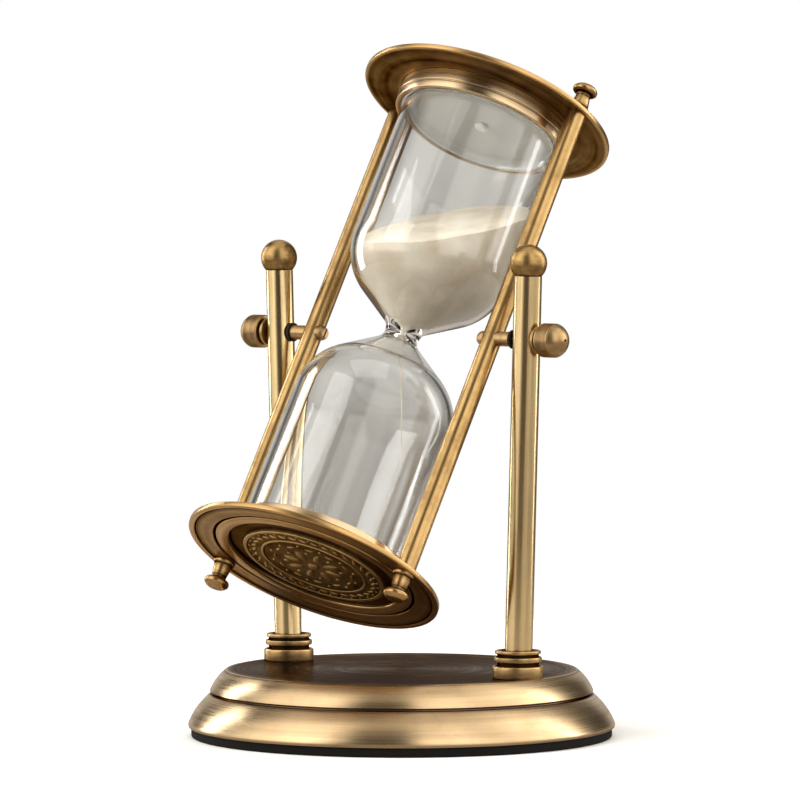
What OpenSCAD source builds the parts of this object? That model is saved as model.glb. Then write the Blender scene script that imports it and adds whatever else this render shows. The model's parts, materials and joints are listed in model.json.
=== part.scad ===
// Revolving desk hourglass.
// A sealed glass is held between two turned brass discs by two rods, and the whole frame
// tips over end for end on two pivot screws between the posts of a round, weighted base.
// Origin: on the table, at the centre of the base. +Z is up, and the pivot axis runs along X.

/* [Base] */
// Outside diameter of the base shell
base_d = 140; // [138:1:170]
// Height of the base's top face above the table
base_h = 22; // [20:0.5:30]
// Thickness of the spun sheet of the base shell
base_wall = 1.4; // [1:0.1:1.8]
// Thickness of the soft pad under the base
pad_h = 3; // [2:0.5:4]
// How far the pad stays inside the shell's edge
pad_inset = 1; // [0.5:0.1:2]
// Thickness of the plate that closes the base from below
plate_t = 2; // [1.5:0.1:2.5]
// Thickness of the cast ballast under the base's top
weight_t = 8; // [6:0.5:9]

/* [Posts] */
// Distance between the feet of the two posts
post_span = 98.4; // [97:0.1:100]
// Diameter of a post
post_d = 9; // [7.5:0.1:10.8]
// Height of a post above the base
post_h = 129.7; // [122:0.1:156]
// Outward lean of each post, in degrees
post_lean = 1.8; // [0:0.1:2.4]
// Height of the pivot axis above the base
pivot_h = 109.2; // [104:0.1:114]
// Diameter of the ball on top of a post
ball_d = 12; // [10:0.5:14.5]
// Diameter of the widest ring of a foot collar
collar_d = 16.5; // [15:0.1:19]

/* [Frame] */
// Tip of the frame from upright, in degrees
tilt = 31; // [0:1:45]
// Diameter of the two end discs
disc_d = 85.4; // [84:0.1:88]
// Distance between the outer planes of the discs
frame_l = 172; // [140:1:176]
// Thickness of a disc at its edge
disc_edge = 1.7; // [1.4:0.1:2.2]
// Distance between the two rods
rod_span = 76.6; // [75:0.1:77]
// Diameter of a rod
rod_d = 6.5; // [5.4:0.1:7.8]
// Height of the ring that grips the glass
ring_h = 5.4; // [4:0.1:7]

/* [Glass] */
// Outside diameter of a bulb
glass_d = 54; // [44:0.5:55]
// Thickness of the blown wall
glass_wall = 1.6; // [1.2:0.1:2]
// Outside diameter of the neck
neck_d = 11.5; // [9:0.5:14]
// Diameter of the hole in the neck
neck_bore = 1.8; // [1.4:0.1:2.4]
// Half angle of the cone between the neck and the shoulder, in degrees
cone_angle = 51.5; // [45:0.5:56]
// Radius of a bulb's shoulder
shoulder_r = 20; // [16:0.5:21]
// Radius where the neck runs into the cone
neck_fillet = 5.2; // [4:0.1:7]

/* [Sand] */
// Height of the sand's surface above the neck, along the glass
sand_level = 41.8; // [30:0.1:44]
// How far the sand's surface still leans from level, in degrees
sand_lag = 10; // [0:1:12]

/* [Pivots] */
// Diameter of the pivot screw's shank
screw_d = 3; // [2.5:0.1:3.4]
// Diameter of the pivot screw's round head
head_d = 5; // [4.5:0.1:5.2]
// Diameter of the sleeve between a rod and a post
sleeve_d = 4.8; // [4.4:0.1:5.2]
// Diameter of a clamp knob
knob_d = 11; // [9:0.5:13]
// Length of a clamp knob
knob_l = 10.3; // [9:0.1:12]

/* [Hidden] */
$fn = 96;

LEFT = -1;
RIGHT = 1;
UPPER = 1;
LOWER = -1;

// Fits: between assembled pieces, and the air between bodies that pass each other.
fit = 0.05;
air = 0.35;
// How far a cutting body reaches past the face it cuts, and the chamfer of a turned edge.
cut = 1;
edge = 0.3;

// Base, measured from its outer radius and its top face.
base_r = base_d / 2;
groove_z = pad_h + 0.6 * (base_h - pad_h);
rim_edge = 0.8;
rim_h = 1.2;
lower_tier_in = 6.9;
groove_in = 7.6;
upper_tier_in = 7.1;
upper_tier_top_in = 11.6;
top_edge_in = 12.4;
top_edge_drop = 0.7;
groove_half = 0.25;
tier_gap = 0.6;
lower_lean = [15, 42];
upper_lean = [20, 50];
inner_tier_gap = 2.2;
inner_groove_low = 1.2;
inner_groove_top = 0.2;
plate_gap = 1.6;
plate_r = base_r - base_wall - plate_gap;
boss_r = 8;
base_screw_r = 2;
base_screw_head_r = 3.6;
weight_top = base_h - base_wall;
weight_bottom = weight_top - weight_t;

// Posts and what holds them.
post_r = post_d / 2;
foot_x = post_span / 2;
post_len = post_h / cos(post_lean);
bolt_r = 2.5;
bolt_clear = 0.2;
bolt_reach = 14;
bolt_head_r = 4.6;
bolt_head_h = 3.4;
bolt_recess = 1.4;
bolt_seat = bolt_recess - base_wall - weight_t;
post_washer_r = 5.2;
post_washer_t = 1;
weight_margin = 6.4;
weight_r = min(foot_x + weight_margin, base_r - top_edge_in - base_wall - 2 * air);
spigot_r = 1.8;
spigot_l = 7;
ball_r = ball_d / 2;
ball_lift = 0.7 * ball_r;

// Foot collar: three rings, one above the other, with two grooves between them.
collar_r = collar_d / 2;
collar_mid_r = collar_r - 0.5;
collar_cap_r = collar_r - 0.8;
collar_groove_r = max(post_r + 1.2, collar_r - 1.3);
collar_foot_top = 3.9;
collar_mid_low = 5.2;
collar_mid_top = 6.8;
collar_cap_low = 7.8;
collar_h = 8.9;

// The frame that tips, measured from the pivot along the axis of the glass.
pivot_z = base_h + pivot_h;
disc_r = disc_d / 2;
disc_z = frame_l / 2;
rod_x = rod_span / 2;
rod_r = rod_d / 2;
rod_seat_z = disc_z - disc_edge;
stud_r = 1.75;
stud_l = 6;
glass_r = glass_d / 2;
cushion_wall = 0.7;
cushion_floor = 1.8;
ring_wall = 2.2;
ring_in_r = glass_r + cushion_wall;
ring_r = ring_in_r + ring_wall;
ring_groove_depth = 0.25;
ring_groove_low = 0.4 * ring_h;
ring_groove_top = 0.54 * ring_h;
cushion_lip = 0.4;

// Face of a disc, from its rim to its recess. A drop is measured from the outer plane.
recess_r = ring_in_r + 1.5;
recess_floor = disc_z - 2.2;
floor_t = 0.8;
disc_inner_z = recess_floor - floor_t;
hub_r = ring_r;
rim_flat = 1.5;
rim_slope = 0.7;
rim_drop = 0.4;
field_drop = 0.6;
groove_drop = 1;
groove_out_r = recess_r + 5.4;
groove_in_r = recess_r + 4.2;
ridge_r = recess_r + 2.2;
ridge_drop = 0.35;
ridge_in_r = recess_r + 0.5;

// Medallion.
medallion_r = recess_r - 5.1;
medallion_t = 1.4;
medallion_rim = 1;
relief = 0.35;
band_r = medallion_r * 0.72;
band_w = 0.6;
bead_count = 24;
bead_r = 1;
petal_count = 8;
petal_r = band_r * 0.17;
petal_ring_r = band_r * 0.52;
rosette_eye_r = band_r * 0.2;
rosette_eye_h = 0.84;

// Rod nut.
nut_seat = disc_z - 0.6;
nut_seat_r = 3.8;
nut_foot_r = 3.6;
nut_foot_h = 1;
nut_shoulder_h = 1.5;
nut_taper_top = 3.6;
nut_neck_r = 2.4;
nut_neck_low = 5.4;
nut_neck_top = 6.6;
nut_head_r = 4.15;
nut_head_edge = 0.9;
nut_head_z = 7.6;
nut_crown_r = 8.9;
nut_h = 10;
nut_waist = 0.5;

// Glass and sand.
glass_end = disc_inner_z - cushion_floor - fit;
end_wall = 1.8;
end_corner = 4;
neck_r = neck_d / 2;
bore_r = neck_bore / 2;
shoulder_z = (neck_fillet + shoulder_r) * tan(cone_angle / 2)
    + (glass_r - neck_r) / tan(cone_angle);
filler_r = 2.2;
stopper_l = 3;
sand_gap = 0.25;
sand_tail = -2;

// Pivots, measured outwards along X from the axis of the glass.
screw_r = screw_d / 2;
head_r = head_d / 2;
head_t = 2;
head_edge = 0.9;
head_flat_r = head_r * 0.6;
slot_w = 0.8;
slot_depth = 0.7;
spot_depth = 1.1;
post_x = foot_x + pivot_h * tan(post_lean);
post_half = post_r / cos(post_lean);
bush_wall = 1.1;
bush_r = screw_r + bush_wall;
bush_inset = 0.1;
bush_half = sqrt(post_r * post_r - bush_r * bush_r) - bush_inset;
friction_washer_r = 3.1;
friction_washer_t = 0.8;
sleeve_r = sleeve_d / 2;
sleeve_start = rod_x + rod_r - spot_depth;
sleeve_end = post_x - post_half - air - friction_washer_t;
knob_washer_r = 4.4;
knob_washer_t = 0.9;
knob_washer_x = post_x + post_half + air;
knob_x = knob_washer_x + knob_washer_t;
knob_r = knob_d / 2;
knob_neck_r = 3.6;
knob_neck_l = 1;
knob_edge = 0.6;
knob_bore_l = 7;
dome_ratio = 1.06;
centre_mark_r = 0.55;
centre_mark_depth = 0.35;

// Points on a circular arc in the plane of a turned profile.
function arc(cx, cz, r, from, to, steps) =
    [for (i = [0:steps]) let (a = from + (to - from) * i / steps) [cx + r * cos(a), cz + r * sin(a)]];

// A turned swelling from [r0, z0] to [r1, z1]. Its lean from upright grows between two angles.
function swell(r0, z0, r1, z1, lean, steps) =
    [for (i = [0:steps]) let (a = lean[0] + (lean[1] - lean[0]) * i / steps)
        [r0 - (r0 - r1) * (cos(lean[0]) - cos(a)) / (cos(lean[0]) - cos(lean[1])),
         z0 + (z1 - z0) * (sin(a) - sin(lean[0])) / (sin(lean[1]) - sin(lean[0]))]];

// Half outline of the bulb, a distance inside the outer face, from the neck to the end.
function bulb_half(inset, waist_r, end_z) =
    let (body_r = glass_r - inset,
         round_r = shoulder_r - inset,
         corner = end_corner - inset,
         fillet = (shoulder_z - (body_r - waist_r) / tan(cone_angle)) / tan(cone_angle / 2) - round_r)
    concat(
        arc(waist_r + fillet, 0, fillet, 180, 180 - cone_angle, 6),
        arc(body_r - round_r, shoulder_z, round_r, -cone_angle, 0, 10),
        arc(body_r - corner, end_z - corner, corner, 0, 90, 6)
    );

module turned(points) {
    rotate_extrude() polygon(points);
}

// Both bulbs as one turned body: the half outline and its mirror image.
module turned_bulb(inset, waist_r, end_z) {
    half = bulb_half(inset, waist_r, end_z);
    mirrored = [for (i = [len(half) - 1:-1:1]) [half[i].x, -half[i].y]];
    turned(concat([[0, -end_z]], mirrored, half, [[0, end_z]]));
}

// Frames of reference.
module at_foot(side) {
    translate([side * foot_x, 0, base_h]) rotate([0, side * post_lean, 0]) children();
}

module in_glass_frame() {
    translate([0, 0, pivot_z]) rotate([-tilt, 0, 0]) children();
}

module at_end(end) {
    in_glass_frame() rotate([end == UPPER ? 0 : 180, 0, 0]) children();
}

module at_rod_end(side, end) {
    at_end(end) translate([side * rod_x, 0, 0]) children();
}

module along_pivot(side) {
    in_glass_frame() rotate([0, 0, side == RIGHT ? 0 : 180]) rotate([0, 90, 0]) children();
}

// --- Base ---------------------------------------------------------------------------------

module base_shell() {
    outside = concat(
        [[0, 0], [base_r - rim_edge, 0], [base_r, rim_edge]],
        swell(base_r, rim_h, base_r - lower_tier_in, groove_z - pad_h - tier_gap, lower_lean, 10),
        [[base_r - groove_in, groove_z - pad_h - groove_half],
         [base_r - groove_in, groove_z - pad_h + groove_half]],
        swell(base_r - upper_tier_in, groove_z - pad_h + tier_gap,
              base_r - upper_tier_top_in, base_h - pad_h - top_edge_drop, upper_lean, 8),
        [[base_r - top_edge_in, base_h - pad_h], [0, base_h - pad_h]]
    );
    inside = concat(
        [[0, -cut], [base_r - base_wall, -cut]],
        swell(base_r - base_wall, 0, base_r - lower_tier_in - base_wall,
              groove_z - pad_h - inner_tier_gap, lower_lean, 8),
        [[base_r - groove_in - base_wall, groove_z - pad_h - inner_groove_low],
         [base_r - groove_in - base_wall, groove_z - pad_h + inner_groove_top],
         [base_r - top_edge_in - base_wall, base_h - pad_h - base_wall],
         [0, base_h - pad_h - base_wall]]
    );
    color("#C39A63") difference() {
        translate([0, 0, pad_h]) difference() {
            turned(outside);
            turned(inside);
        }
        for (side = [LEFT, RIGHT]) at_foot(side) {
            translate([0, 0, -2 * base_wall - cut])
                cylinder(r = bolt_r + bolt_clear, h = 2 * base_wall + 2 * cut);
        }
    }
}

module base_weight() {
    color("#3A3A3C") difference() {
        union() {
            translate([0, 0, weight_bottom]) cylinder(r = weight_r, h = weight_t);
            translate([0, 0, pad_h + plate_t])
                cylinder(r = boss_r, h = weight_bottom - pad_h - plate_t + fit);
        }
        for (side = [LEFT, RIGHT]) at_foot(side) {
            translate([0, 0, -base_h]) cylinder(r = bolt_r + bolt_clear, h = 2 * base_h);
            translate([0, 0, -base_h]) cylinder(r = post_washer_r + air, h = base_h + bolt_seat);
        }
        cylinder(r = base_screw_r + fit, h = weight_bottom + weight_t / 2);
    }
}

module base_plate() {
    color("#5B5B5E") difference() {
        translate([0, 0, pad_h]) cylinder(r = plate_r, h = plate_t);
        cylinder(r = base_screw_r + fit, h = base_h);
        translate([0, 0, pad_h]) cylinder(
            r1 = base_screw_head_r + fit, r2 = base_screw_r + fit, h = base_screw_head_r - base_screw_r);
    }
}

module base_pad() {
    color("#141414") cylinder(r = base_r - pad_inset, h = pad_h);
}

module base_screw() {
    color("#8C8C90") translate([0, 0, pad_h]) union() {
        cylinder(r1 = base_screw_head_r, r2 = base_screw_r, h = base_screw_head_r - base_screw_r);
        cylinder(r = base_screw_r, h = weight_bottom - pad_h + weight_t / 2 - cut);
    }
}

// --- Posts --------------------------------------------------------------------------------

// A turned stack of three rings with dark grooves between them.
module foot_collar(side) {
    rings = [
        [0, 0], [collar_r - edge, 0], [collar_r, edge],
        [collar_r, collar_foot_top - edge], [collar_r - edge, collar_foot_top],
        [collar_groove_r, collar_foot_top], [collar_groove_r, collar_mid_low],
        [collar_mid_r - edge, collar_mid_low], [collar_mid_r, collar_mid_low + edge],
        [collar_mid_r, collar_mid_top - edge], [collar_mid_r - edge, collar_mid_top],
        [collar_groove_r, collar_mid_top], [collar_groove_r, collar_cap_low],
        [collar_cap_r, collar_cap_low], [collar_cap_r, collar_h - edge],
        [collar_cap_r - edge, collar_h], [0, collar_h]
    ];
    color("#8A6A42") difference() {
        translate([side * foot_x, 0, base_h]) turned(rings);
        at_foot(side) translate([0, 0, -cut]) cylinder(r = post_r + fit, h = 2 * collar_r);
    }
}

module post(side) {
    color("#D2B27A") difference() {
        at_foot(side) translate([0, 0, -cut]) cylinder(r = post_r, h = post_len + cut);
        translate([side * foot_x, 0, base_h - 2 * cut]) cylinder(r = collar_r, h = 2 * cut);
        at_foot(side) translate([0, 0, -cut]) cylinder(r = bolt_r + fit, h = bolt_reach + 2 * cut);
        at_foot(side) translate([0, 0, post_len - spigot_l - cut])
            cylinder(r = spigot_r + fit, h = spigot_l + 2 * cut);
        along_pivot(side) translate([0, 0, post_x - post_d])
            cylinder(r = bush_r + fit, h = 2 * post_d);
    }
}

module post_bolt(side) {
    color("#8C8C90") at_foot(side) union() {
        translate([0, 0, bolt_seat - post_washer_t])
            cylinder(r = bolt_r, h = bolt_reach + post_washer_t - bolt_seat);
        translate([0, 0, bolt_seat - post_washer_t - bolt_head_h])
            cylinder(r = bolt_head_r, h = bolt_head_h, $fn = 6);
    }
}

module post_washer(side) {
    color("#9A9A9E") at_foot(side) translate([0, 0, bolt_seat - post_washer_t]) difference() {
        cylinder(r = post_washer_r, h = post_washer_t);
        translate([0, 0, -cut]) cylinder(r = bolt_r + bolt_clear, h = post_washer_t + 2 * cut);
    }
}

module ball_finial(side) {
    color("#A98350") at_foot(side) translate([0, 0, post_len]) union() {
        difference() {
            translate([0, 0, ball_lift]) sphere(r = ball_r);
            translate([0, 0, -ball_d]) cylinder(r = ball_d, h = ball_d);
        }
        translate([0, 0, -spigot_l]) cylinder(r = spigot_r, h = spigot_l + ball_lift);
    }
}

module pivot_bush(side) {
    color("#7A5A3A") along_pivot(side) translate([0, 0, post_x - bush_half]) difference() {
        cylinder(r = bush_r, h = 2 * bush_half);
        translate([0, 0, -cut]) cylinder(r = screw_r + fit, h = 2 * bush_half + 2 * cut);
    }
}

// --- Tipping frame --------------------------------------------------------------------------

// A turned disc: thin edge, shallow groove, raised ring, a round recess for the medallion, and
// inside a low boss that carries the glass ring flush.
module end_disc(end) {
    face = [
        [0, disc_inner_z], [hub_r, disc_inner_z], [hub_r, rod_seat_z],
        [disc_r - edge, rod_seat_z], [disc_r, rod_seat_z + edge], [disc_r, disc_z - edge],
        [disc_r - edge, disc_z], [disc_r - rim_flat, disc_z],
        [disc_r - rim_flat - rim_slope, disc_z - rim_drop],
        [groove_out_r, disc_z - field_drop], [groove_out_r - edge, disc_z - groove_drop],
        [groove_in_r + edge, disc_z - groove_drop], [groove_in_r, disc_z - field_drop],
        [ridge_r, disc_z - ridge_drop], [ridge_in_r, disc_z - field_drop],
        [recess_r, disc_z - groove_drop], [recess_r, recess_floor], [0, recess_floor]
    ];
    color("#8F6F42") at_end(end) difference() {
        turned(face);
        for (side = [LEFT, RIGHT]) translate([side * rod_x, 0, 0]) {
            translate([0, 0, disc_inner_z - cut]) cylinder(r = stud_r + fit, h = 4 * disc_edge);
            translate([0, 0, nut_seat]) cylinder(r = nut_seat_r, h = disc_edge);
        }
    }
}

// A cast plaque with a raised edge, a ring of beads, a plain band and an eight-petal rosette.
module medallion(end) {
    color("#6E5433") at_end(end) translate([0, 0, recess_floor]) union() {
        turned([
            [0, 0], [medallion_r, 0], [medallion_r, medallion_t],
            [medallion_r - edge, medallion_t + relief],
            [medallion_r - medallion_rim, medallion_t + relief],
            [medallion_r - medallion_rim - edge, medallion_t],
            [band_r + band_w + edge, medallion_t], [band_r + band_w, medallion_t + relief],
            [band_r, medallion_t + relief], [band_r - edge, medallion_t], [0, medallion_t]
        ]);
        for (i = [0:bead_count - 1]) rotate(i * 360 / bead_count)
            translate([(medallion_r + band_r) / 2, 0, medallion_t - relief])
                cylinder(r = bead_r, h = 2 * relief, $fn = 24);
        for (i = [0:petal_count - 1]) rotate(i * 360 / petal_count)
            translate([petal_ring_r, 0, medallion_t - relief])
                cylinder(r = petal_r, h = 2 * relief, $fn = 32);
        translate([0, 0, medallion_t - relief]) cylinder(r = rosette_eye_r, h = rosette_eye_h);
    }
}

// The stepped ring on a disc's inner face that the bulb's end sits in.
module glass_ring(end) {
    low = disc_inner_z - ring_h;
    color("#B8905A") at_end(end) turned([
        [ring_in_r, low], [ring_r - edge, low], [ring_r, low + edge],
        [ring_r, low + ring_groove_low],
        [ring_r - ring_groove_depth, low + ring_groove_low + ring_groove_depth],
        [ring_r - ring_groove_depth, low + ring_groove_top - ring_groove_depth],
        [ring_r, low + ring_groove_top], [ring_r, disc_inner_z], [ring_in_r, disc_inner_z]
    ]);
}

module glass_cushion(end) {
    low = disc_inner_z - ring_h + cushion_lip;
    color("#C9C7C2") at_end(end) difference() {
        translate([0, 0, low]) cylinder(r = ring_in_r - fit, h = disc_inner_z - low);
        translate([0, 0, low - cut]) cylinder(r = glass_r + fit, h = glass_end + fit - low + cut);
    }
}

module rod(side) {
    color("#CFA35C") difference() {
        in_glass_frame() translate([side * rod_x, 0, 0]) union() {
            translate([0, 0, -rod_seat_z]) cylinder(r = rod_r, h = 2 * rod_seat_z);
            translate([0, 0, -nut_seat - stud_l]) cylinder(r = stud_r, h = 2 * (nut_seat + stud_l));
        }
        along_pivot(side) {
            translate([0, 0, rod_x - rod_d]) cylinder(r = screw_r + fit, h = 2 * rod_d);
            translate([0, 0, rod_x - rod_d]) cylinder(r = head_r + fit, h = rod_r + spot_depth);
            translate([0, 0, sleeve_start]) cylinder(r = sleeve_r + fit, h = rod_d);
        }
    }
}

// A closed nut: wide foot, tapered neck and a mushroom head, tapped from below.
module rod_nut(side, end) {
    outline = concat(
        [[0, 0], [nut_foot_r - edge, 0], [nut_foot_r, edge], [nut_foot_r, nut_foot_h],
         [nut_foot_r - nut_waist, nut_shoulder_h], [nut_neck_r + nut_waist, nut_taper_top],
         [nut_neck_r, nut_neck_low], [nut_neck_r, nut_neck_top]],
        arc(nut_head_r - nut_head_edge, nut_head_z, nut_head_edge, -70, 60, 6),
        arc(0, nut_h - nut_crown_r, nut_crown_r, 69, 90, 5)
    );
    color("#A37C48") at_rod_end(side, end) translate([0, 0, nut_seat]) difference() {
        turned(outline);
        translate([0, 0, -cut]) cylinder(r = stud_r + fit, h = stud_l + edge + cut);
    }
}

// --- Glass and sand -------------------------------------------------------------------------

module glass_bulb() {
    color("#DDE2E2", 0.4) in_glass_frame() difference() {
        turned_bulb(0, neck_r, glass_end);
        turned_bulb(glass_wall, bore_r, glass_end - end_wall);
        translate([0, 0, glass_end - end_wall - cut]) cylinder(r = filler_r, h = end_wall + 2 * cut);
    }
}

module filler_stopper() {
    color("#E4E0D6") at_end(UPPER) translate([0, 0, glass_end - stopper_l])
        cylinder(r = filler_r - fit, h = stopper_l);
}

// The sand fills the upper bulb to a plane that hasn't quite levelled since the frame was tipped.
module sand_charge() {
    half = bulb_half(glass_wall + sand_gap, bore_r - sand_gap, glass_end - end_wall - sand_gap);
    color("#E6DFD1") in_glass_frame() difference() {
        turned(concat(
            [[0, sand_tail], [bore_r - sand_gap, sand_tail]],
            half,
            [[0, glass_end - end_wall - sand_gap]]
        ));
        translate([0, 0, sand_level]) rotate([tilt + sand_lag, 0, 0])
            translate([-frame_l, -frame_l, 0]) cube(2 * frame_l);
    }
}

// --- Pivots ---------------------------------------------------------------------------------

module pivot_screw(side) {
    head_x = rod_x - rod_r + spot_depth;
    tip_x = knob_x + knob_bore_l - cut;
    color("#7D6041") along_pivot(side) difference() {
        union() {
            translate([0, 0, head_x - cut]) cylinder(r = screw_r, h = tip_x - head_x + cut);
            translate([0, 0, head_x]) rotate([180, 0, 0]) turned(concat(
                [[0, 0], [head_r, 0]],
                swell(head_r, head_edge, head_flat_r, spot_depth + head_t, [0, 80], 6),
                [[0, spot_depth + head_t]]
            ));
        }
        translate([-head_d, -slot_w / 2, head_x - spot_depth - head_t - cut])
            cube([2 * head_d, slot_w, slot_depth + cut]);
    }
}

module pivot_sleeve(side) {
    color("#8D6C48") along_pivot(side) translate([0, 0, sleeve_start]) difference() {
        cylinder(r = sleeve_r, h = sleeve_end - sleeve_start);
        translate([0, 0, -cut]) cylinder(r = screw_r + fit, h = sleeve_end - sleeve_start + 2 * cut);
    }
}

module friction_washer(side) {
    color("#2B2019") along_pivot(side) translate([0, 0, sleeve_end]) difference() {
        cylinder(r = friction_washer_r, h = friction_washer_t);
        translate([0, 0, -cut]) cylinder(r = screw_r + fit, h = friction_washer_t + 2 * cut);
    }
}

module knob_washer(side) {
    color("#8D6C48") along_pivot(side) translate([0, 0, knob_washer_x]) difference() {
        cylinder(r = knob_washer_r, h = knob_washer_t);
        translate([0, 0, -cut]) cylinder(r = screw_r + fit, h = knob_washer_t + 2 * cut);
    }
}

// A thumb nut: undercut neck, straight grip and a domed end with a small centre mark.
module knob(side) {
    dome_r = knob_r * dome_ratio;
    dome_angle = asin(knob_r / dome_r);
    dome_centre = knob_l - dome_r;
    outline = concat(
        [[0, 0], [knob_neck_r, 0], [knob_neck_r, knob_neck_l], [knob_r - knob_edge, knob_neck_l],
         [knob_r, knob_neck_l + knob_edge]],
        arc(0, dome_centre, dome_r, 90 - dome_angle, 90, 10)
    );
    color("#A0794B") along_pivot(side) translate([0, 0, knob_x]) difference() {
        turned(outline);
        translate([0, 0, -cut]) cylinder(r = screw_r + fit, h = knob_bore_l + cut);
        translate([0, 0, knob_l - centre_mark_depth]) cylinder(r = centre_mark_r, h = cut);
    }
}

base_shell();
base_weight();
base_plate();
base_pad();
base_screw();
foot_collar(LEFT);  // foot_collar_left
foot_collar(RIGHT);  // foot_collar_right
post(LEFT);  // post_left
post(RIGHT);  // post_right
post_bolt(LEFT);  // post_bolt_left
post_bolt(RIGHT);  // post_bolt_right
post_washer(LEFT);  // post_washer_left
post_washer(RIGHT);  // post_washer_right
ball_finial(LEFT);  // ball_finial_left
ball_finial(RIGHT);  // ball_finial_right
pivot_bush(LEFT);  // pivot_bush_left
pivot_bush(RIGHT);  // pivot_bush_right
end_disc(UPPER);  // upper_disc
end_disc(LOWER);  // lower_disc
medallion(UPPER);  // upper_medallion
medallion(LOWER);  // lower_medallion
glass_ring(UPPER);  // upper_glass_ring
glass_ring(LOWER);  // lower_glass_ring
glass_cushion(UPPER);  // upper_glass_cushion
glass_cushion(LOWER);  // lower_glass_cushion
rod(LEFT);  // rod_left
rod(RIGHT);  // rod_right
rod_nut(LEFT, UPPER);  // upper_rod_nut_left
rod_nut(RIGHT, UPPER);  // upper_rod_nut_right
rod_nut(LEFT, LOWER);  // lower_rod_nut_left
rod_nut(RIGHT, LOWER);  // lower_rod_nut_right
glass_bulb();
filler_stopper();
sand_charge();
pivot_screw(LEFT);  // pivot_screw_left
pivot_screw(RIGHT);  // pivot_screw_right
pivot_sleeve(LEFT);  // pivot_sleeve_left
pivot_sleeve(RIGHT);  // pivot_sleeve_right
friction_washer(LEFT);  // friction_washer_left
friction_washer(RIGHT);  // friction_washer_right
knob(LEFT);  // knob_left
knob(RIGHT);  // knob_right
knob_washer(LEFT);  // knob_washer_left
knob_washer(RIGHT);  // knob_washer_right
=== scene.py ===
# %% [markdown]
# # A revolving brass hourglass
#
# The engineering model gives every piece its place and size. This lesson gives the pieces their
# looks: turned brass with soft edges, blown glass, fine sand, and a small studio to see them in.

import json
import math
import random

import bmesh
import bpy
from mathutils import Matrix, Vector


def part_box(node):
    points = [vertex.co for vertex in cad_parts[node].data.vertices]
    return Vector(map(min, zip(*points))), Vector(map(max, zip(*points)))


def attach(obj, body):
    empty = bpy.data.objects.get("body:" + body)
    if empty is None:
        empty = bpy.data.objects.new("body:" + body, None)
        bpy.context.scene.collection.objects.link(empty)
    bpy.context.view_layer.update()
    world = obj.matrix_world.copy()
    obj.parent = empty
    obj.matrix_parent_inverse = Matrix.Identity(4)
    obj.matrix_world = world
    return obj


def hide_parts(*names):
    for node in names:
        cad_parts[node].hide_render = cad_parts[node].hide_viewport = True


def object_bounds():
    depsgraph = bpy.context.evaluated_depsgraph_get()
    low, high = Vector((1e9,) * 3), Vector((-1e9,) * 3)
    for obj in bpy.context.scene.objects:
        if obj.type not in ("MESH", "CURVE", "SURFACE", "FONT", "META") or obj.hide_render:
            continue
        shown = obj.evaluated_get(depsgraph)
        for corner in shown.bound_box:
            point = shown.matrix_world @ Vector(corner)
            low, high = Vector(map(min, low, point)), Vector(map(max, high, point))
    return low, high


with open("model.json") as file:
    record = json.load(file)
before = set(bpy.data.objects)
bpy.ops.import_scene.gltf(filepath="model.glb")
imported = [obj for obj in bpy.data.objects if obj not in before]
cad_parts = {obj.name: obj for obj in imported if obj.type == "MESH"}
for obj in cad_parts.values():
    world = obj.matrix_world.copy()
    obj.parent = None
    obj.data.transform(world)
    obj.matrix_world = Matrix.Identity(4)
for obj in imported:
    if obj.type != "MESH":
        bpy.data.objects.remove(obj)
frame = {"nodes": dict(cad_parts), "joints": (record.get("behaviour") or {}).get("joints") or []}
cad_low, cad_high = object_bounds()
MM = 0.001
print("engineering box in mm:", [round(v / MM, 1) for v in cad_high - cad_low])

# %% [markdown]
# Colours are easiest to pick as the hex values that a screen shows. A renderer works in linear
# light, so one function turns a hex value into linear red, green and blue.


# %% Colours
def linear(hex_colour):
    """A hex colour such as C8A064 as linear red, green, blue and alpha."""
    channels = [int(hex_colour[i : i + 2], 16) / 255 for i in (0, 2, 4)]
    return [c / 12.92 if c <= 0.04045 else ((c + 0.055) / 1.055) ** 2.4 for c in channels] + [1.0]


print("light brass in linear light:", [round(c, 3) for c in linear("D9B679")])

# %% [markdown]
# Almost every piece here was made on a lathe, so it has an axis. The foot's pieces stand on the
# model's own Z axis, the glass frame's pieces on an axis that leans with the frame, each post on an
# axis that leans outward, and the knobs on the pivot axis. A placement is the matrix that takes
# a piece drawn around its own Z axis to its place. All of them are worked out from the model.


# %% Placements
def centre_of(part):
    """Mean of a part's corner points. On an even ring it lies on the ring's axis."""
    points = [v.co for v in frame["nodes"][part].data.vertices]
    return sum(points, Vector()) / len(points)


pivot = Vector(next(j["pos_m"] for j in frame["joints"] if j["name"] == "frame_tilt"))
glass_axis = centre_of("upper_glass_ring") - centre_of("lower_glass_ring")
tilt = math.atan2(glass_axis.y, glass_axis.z)
post_low, post_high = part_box("post_right")
post_width = post_high.y - post_low.y
post_lean = math.atan((post_high.x - post_low.x - post_width) / (post_high.z - post_low.z))
LEFT, RIGHT = -1, 1
SIDES = {"left": LEFT, "right": RIGHT}
ENDS = {"upper": 1, "lower": -1}
UPRIGHT = Matrix.Identity(4)
GLASS = Matrix.Translation(pivot) @ Matrix.Rotation(-tilt, 4, "X")


def end_placement(end):
    """The glass frame's axis, pointing out through one of its ends."""
    return GLASS @ Matrix.Rotation(0 if end > 0 else math.pi, 4, "X")


def pivot_placement(side):
    """The pivot axis, pointing outward."""
    return Matrix.Translation(pivot) @ Matrix.Rotation(side * math.pi / 2, 4, "Y")


def foot_placement(side):
    """A post's axis, from the middle of its collar's lower face."""
    low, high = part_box("foot_collar_right")
    foot = Vector((side * (low.x + high.x) / 2, 0, low.z))
    return Matrix.Translation(foot) @ Matrix.Rotation(side * post_lean, 4, "Y")


print("frame leans", round(math.degrees(tilt), 1), "posts lean", round(math.degrees(post_lean), 1))

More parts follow.
